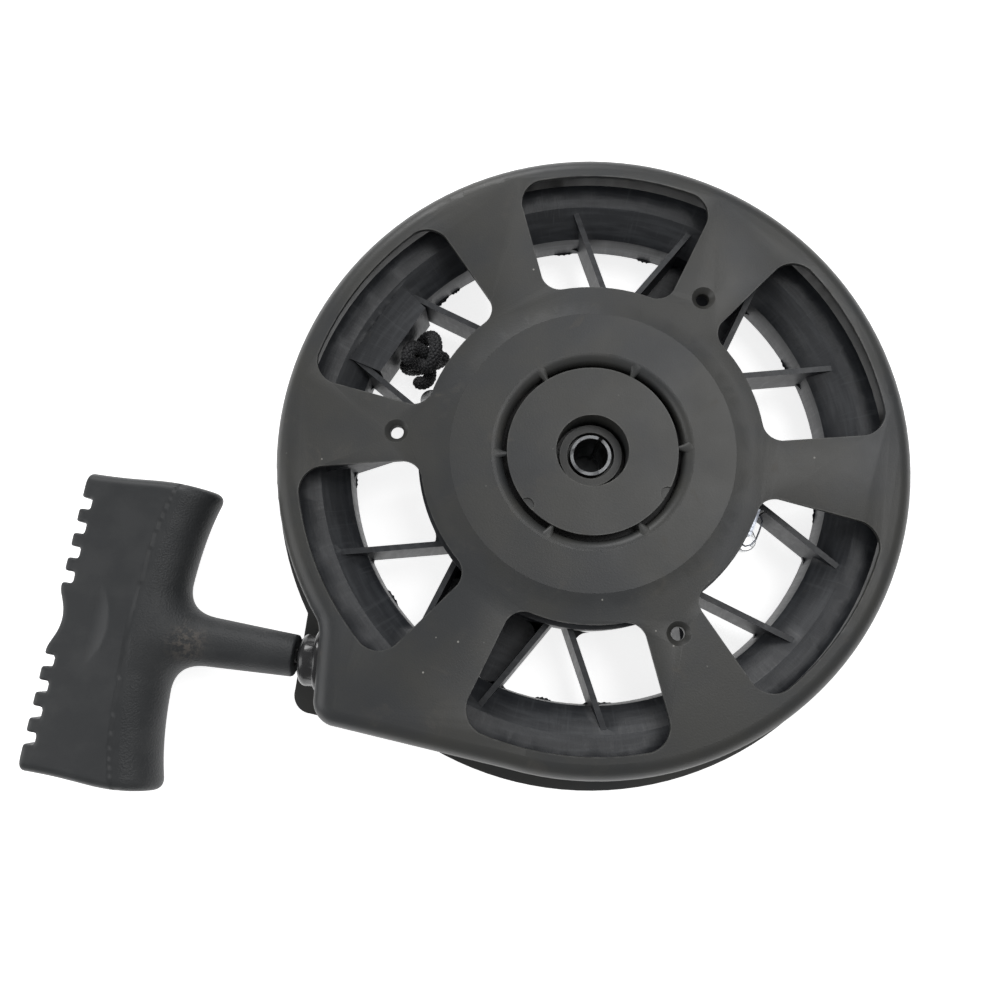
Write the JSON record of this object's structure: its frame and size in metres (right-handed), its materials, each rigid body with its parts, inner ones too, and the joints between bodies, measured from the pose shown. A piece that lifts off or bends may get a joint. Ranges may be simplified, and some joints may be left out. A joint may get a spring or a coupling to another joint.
{
  "type": "recoil starter",
  "caption": "Pull-rope recoil starter: stamped black cover with trapezoid windows, spring-wound rope pulley with swinging dogs, side rope outlet and T-handle.",
  "frame": {"origin": "on the pulley's axis, in the plane of the open rim, which is also the plane of the four mounting ears", "axes": "+Z along the pulley axis out through the cover, -X roughly the way the rope leaves (6 degrees off), open engine side down"},
  "size_m": [0.3131, 0.2458, 0.0432],
  "materials": {
    "cover_paint": "satin black paint",
    "retainer_paint": "satin black",
    "zinc_plate": "zinc plated",
    "spring_steel": "blued spring steel",
    "pulley_plastic": "moulded",
    "bushing_nylon": "natural nylon",
    "eyelet_plastic": "glossy",
    "grip_plastic": "fine grain",
    "rope_braid": "braided"
  },
  "bodies": {
    "housing": {"housing_shell": "cover_paint", "mounting_ears": "cover_paint", "centre_leg": "cover_paint", "centre_backing_plate": "cover_paint", "spring_pin": "spring_steel", "push_nut": "spring_steel", "rope_eyelet": "eyelet_plastic", "rope_lead": "rope_braid", "upper_thrust_washer": "zinc_plate"},
    "pulley": {"pulley": "pulley_plastic", "pulley_bushing": "bushing_nylon", "rewind_spring": "spring_steel", "spring_cover": "zinc_plate", "dog_springs": "spring_steel", "rope_coil": "rope_braid", "rope_knot": "rope_braid"},
    "retainer": {"retainer": "retainer_paint", "brake_spring": "spring_steel", "lower_thrust_washer": "zinc_plate"},
    "dog_a": {"starter_dog_a": "zinc_plate"},
    "dog_b": {"starter_dog_b": "zinc_plate"},
    "handle": {"handle_grip": "grip_plastic", "handle_washer": "zinc_plate", "handle_knot": "rope_braid", "rope_tail": "rope_braid"}
  },
  "joints": [
    {"name": "pulley_spin", "type": "hinge", "parent": "housing", "child": "pulley", "pos_m": [0, 0, 0], "axis": [0, 0, -1], "range_deg": [0, 740], "stiffness_Nm_per_rad": 0.12, "springref_deg": -286.48},
    {"name": "handle_pull", "type": "slide", "parent": "housing", "child": "handle", "axis": [-0.9945, 0.1045, 0], "range_m": [0, 1.2]},
    {"name": "retainer_turn", "type": "hinge", "parent": "pulley", "child": "retainer", "pos_m": [0, 0, 0], "axis": [0, 0, 1], "range_deg": [0, 20]},
    {"name": "dog_a_swing", "type": "hinge", "parent": "pulley", "child": "dog_a", "pos_m": [0.04872, 0.01125, 0], "axis": [0, 0, 1], "range_deg": [0, 15]},
    {"name": "dog_b_swing", "type": "hinge", "parent": "pulley", "child": "dog_b", "pos_m": [-0.04872, -0.01125, 0], "axis": [0, 0, 1], "range_deg": [0, 15]}
  ],
  "couplings": [
    {"joint": "handle_pull", "follows": "pulley_spin", "m_per_rad": 0.0924},
    {"joint": "dog_a_swing", "follows": "retainer_turn", "ratio": 0.75},
    {"joint": "dog_b_swing", "follows": "retainer_turn", "ratio": 0.75}
  ]
}
